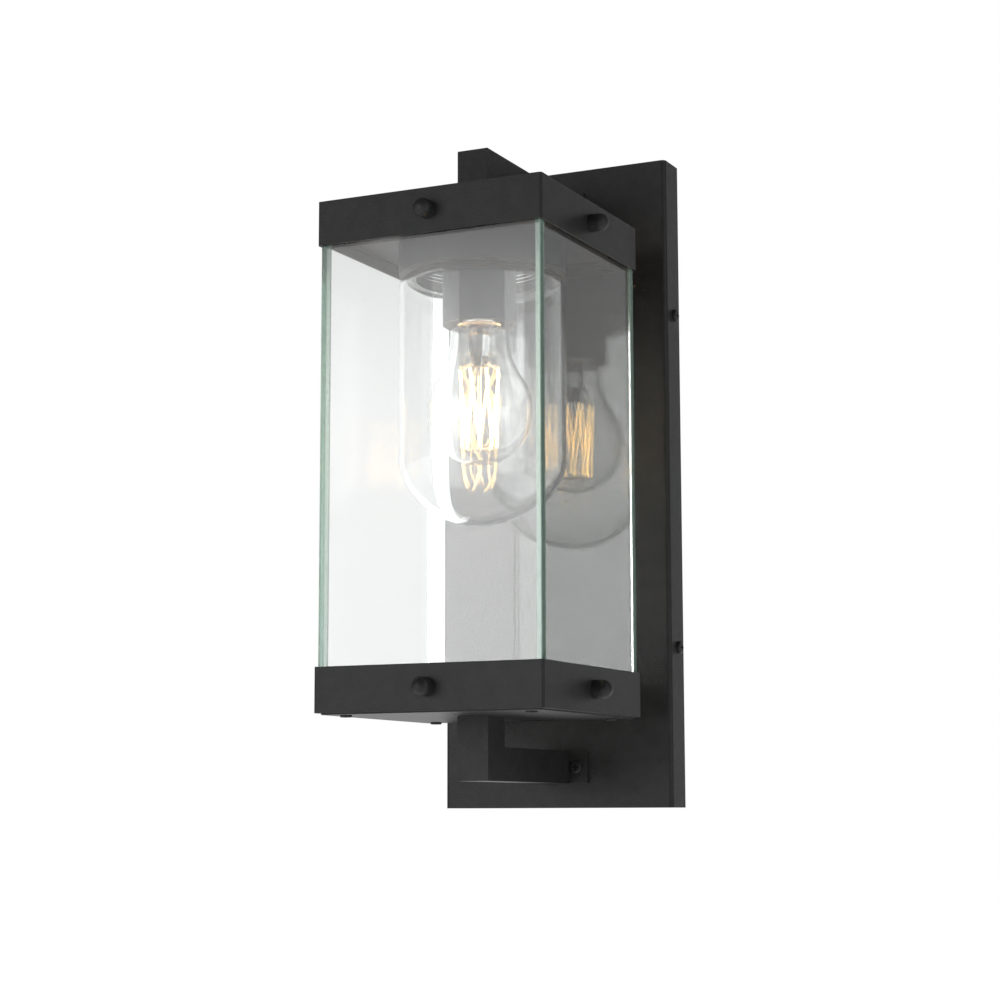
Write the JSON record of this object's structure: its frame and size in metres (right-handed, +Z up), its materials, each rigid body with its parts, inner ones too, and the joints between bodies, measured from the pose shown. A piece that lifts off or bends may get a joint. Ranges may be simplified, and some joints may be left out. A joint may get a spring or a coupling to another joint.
{
  "type": "outdoor wall lantern",
  "caption": "Tall black wall plate with a C-shaped arm that holds a clear glass box lantern, with a rounded inner glass jar round a screw-in filament lamp.",
  "frame": {"origin": "centre of the wall plate on the wall plane, midway between the two wall-box screw holes", "axes": "+Y into the wall, +Z up, -Y out of the wall towards the lantern"},
  "size_m": [0.176, 0.2205, 0.43],
  "materials": {
    "black_coat": "fine-textured matte black powder coat",
    "zinc_steel": "zinc plated",
    "black_rubber": "matte",
    "green_steel": "green grounding screw",
    "green_wire": "green insulation",
    "black_wire": "black insulation",
    "white_wire": "white insulation",
    "yellow_plastic": "moulded wire connector",
    "pane_glass": "clear float glass with polished green edges",
    "jar_glass": "clear blown glass",
    "bulb_glass": "thin clear bulb glass",
    "porcelain": "glazed porcelain",
    "brass": "plain brass",
    "bulb_metal": "rolled aluminium cap and solder",
    "black_vitrite": "black glass insulator",
    "filament": "glowing filament",
    "support_wire": "thin nickel wire"
  },
  "bodies": {
    "lantern": {"wall_plate": "black_coat", "cap_frame": "black_coat", "tray_frame": "black_coat", "ceiling_pan": "black_coat", "floor_pan": "black_coat", "jar_fitter": "black_coat", "socket_cup": "black_coat", "foot_screws": "black_coat", "plate_screws": "black_coat", "pan_screws": "black_coat", "side_screws": "black_coat", "upper_arm_bar": "black_coat", "upper_arm_post": "black_coat", "upper_arm_foot": "black_coat", "upper_arm_plate": "black_coat", "lower_arm_bar": "black_coat", "lower_arm_post": "black_coat", "lower_arm_foot": "black_coat", "lower_arm_plate": "black_coat", "mounting_bracket": "zinc_steel", "bracket_nuts": "zinc_steel", "foot_nuts": "zinc_steel", "frame_standoffs": "zinc_steel", "knob_nuts": "zinc_steel", "nipple": "zinc_steel", "nipple_nuts": "zinc_steel", "wire_bushings": "black_rubber", "pane_gaskets": "black_rubber", "jar_gasket": "black_rubber", "ground_screw": "green_steel", "ground_wire": "green_wire", "live_wire": "black_wire", "neutral_wire": "white_wire", "wire_nuts": "yellow_plastic", "glass_front": "pane_glass", "glass_rear": "pane_glass", "glass_left": "pane_glass", "glass_right": "pane_glass", "glass_jar": "jar_glass", "socket_core": "porcelain", "screw_shell": "brass", "centre_contact": "brass", "socket_terminals": "brass"},
    "knob_cap_front": {"knob_cap_front": "black_coat"},
    "knob_cap_rear": {"knob_cap_rear": "black_coat"},
    "knob_cap_left": {"knob_cap_left": "black_coat"},
    "knob_cap_right": {"knob_cap_right": "black_coat"},
    "knob_tray_front": {"knob_tray_front": "black_coat"},
    "knob_tray_rear": {"knob_tray_rear": "black_coat"},
    "knob_tray_left": {"knob_tray_left": "black_coat"},
    "knob_tray_right": {"knob_tray_right": "black_coat"},
    "bulb_tip": {"bulb_contact": "bulb_metal"},
    "bulb": {"bulb_envelope": "bulb_glass", "bulb_cap": "bulb_metal", "bulb_insulator": "black_vitrite", "bulb_stem": "bulb_glass", "bulb_filaments": "filament", "filament_supports": "support_wire"}
  },
  "joints": [
    {"name": "knob_cap_front_turn", "type": "hinge", "parent": "lantern", "child": "knob_cap_front", "pos_m": [0, -0.209, 0.1446], "axis": [0, -1, 0], "continuous": true},
    {"name": "knob_cap_rear_turn", "type": "hinge", "parent": "lantern", "child": "knob_cap_rear", "pos_m": [0, -0.0615, 0.1446], "axis": [0, 1, 0], "continuous": true},
    {"name": "knob_cap_left_turn", "type": "hinge", "parent": "lantern", "child": "knob_cap_left", "pos_m": [-0.0765, -0.13525, 0.1446], "axis": [-1, 0, 0], "continuous": true},
    {"name": "knob_cap_right_turn", "type": "hinge", "parent": "lantern", "child": "knob_cap_right", "pos_m": [0.0765, -0.13525, 0.1446], "axis": [1, 0, 0], "continuous": true},
    {"name": "knob_tray_front_turn", "type": "hinge", "parent": "lantern", "child": "knob_tray_front", "pos_m": [0, -0.209, -0.1446], "axis": [0, -1, 0], "continuous": true},
    {"name": "knob_tray_rear_turn", "type": "hinge", "parent": "lantern", "child": "knob_tray_rear", "pos_m": [0, -0.0615, -0.1446], "axis": [0, 1, 0], "continuous": true},
    {"name": "knob_tray_left_turn", "type": "hinge", "parent": "lantern", "child": "knob_tray_left", "pos_m": [-0.0765, -0.13525, -0.1446], "axis": [-1, 0, 0], "continuous": true},
    {"name": "knob_tray_right_turn", "type": "hinge", "parent": "lantern", "child": "knob_tray_right", "pos_m": [0.0765, -0.13525, -0.1446], "axis": [1, 0, 0], "continuous": true},
    {"name": "bulb_travel", "type": "slide", "parent": "lantern", "child": "bulb_tip", "axis": [0, 0, -1], "range_m": [0, 0.02545]},
    {"name": "bulb_turn", "type": "hinge", "parent": "bulb_tip", "child": "bulb", "pos_m": [0, -0.13525, 0.0335], "axis": [0, 0, -1], "range_deg": [0, 2520]}
  ],
  "couplings": [
    {"joint": "bulb_travel", "follows": "bulb_turn", "m_per_rad": 0.00057773}
  ]
}
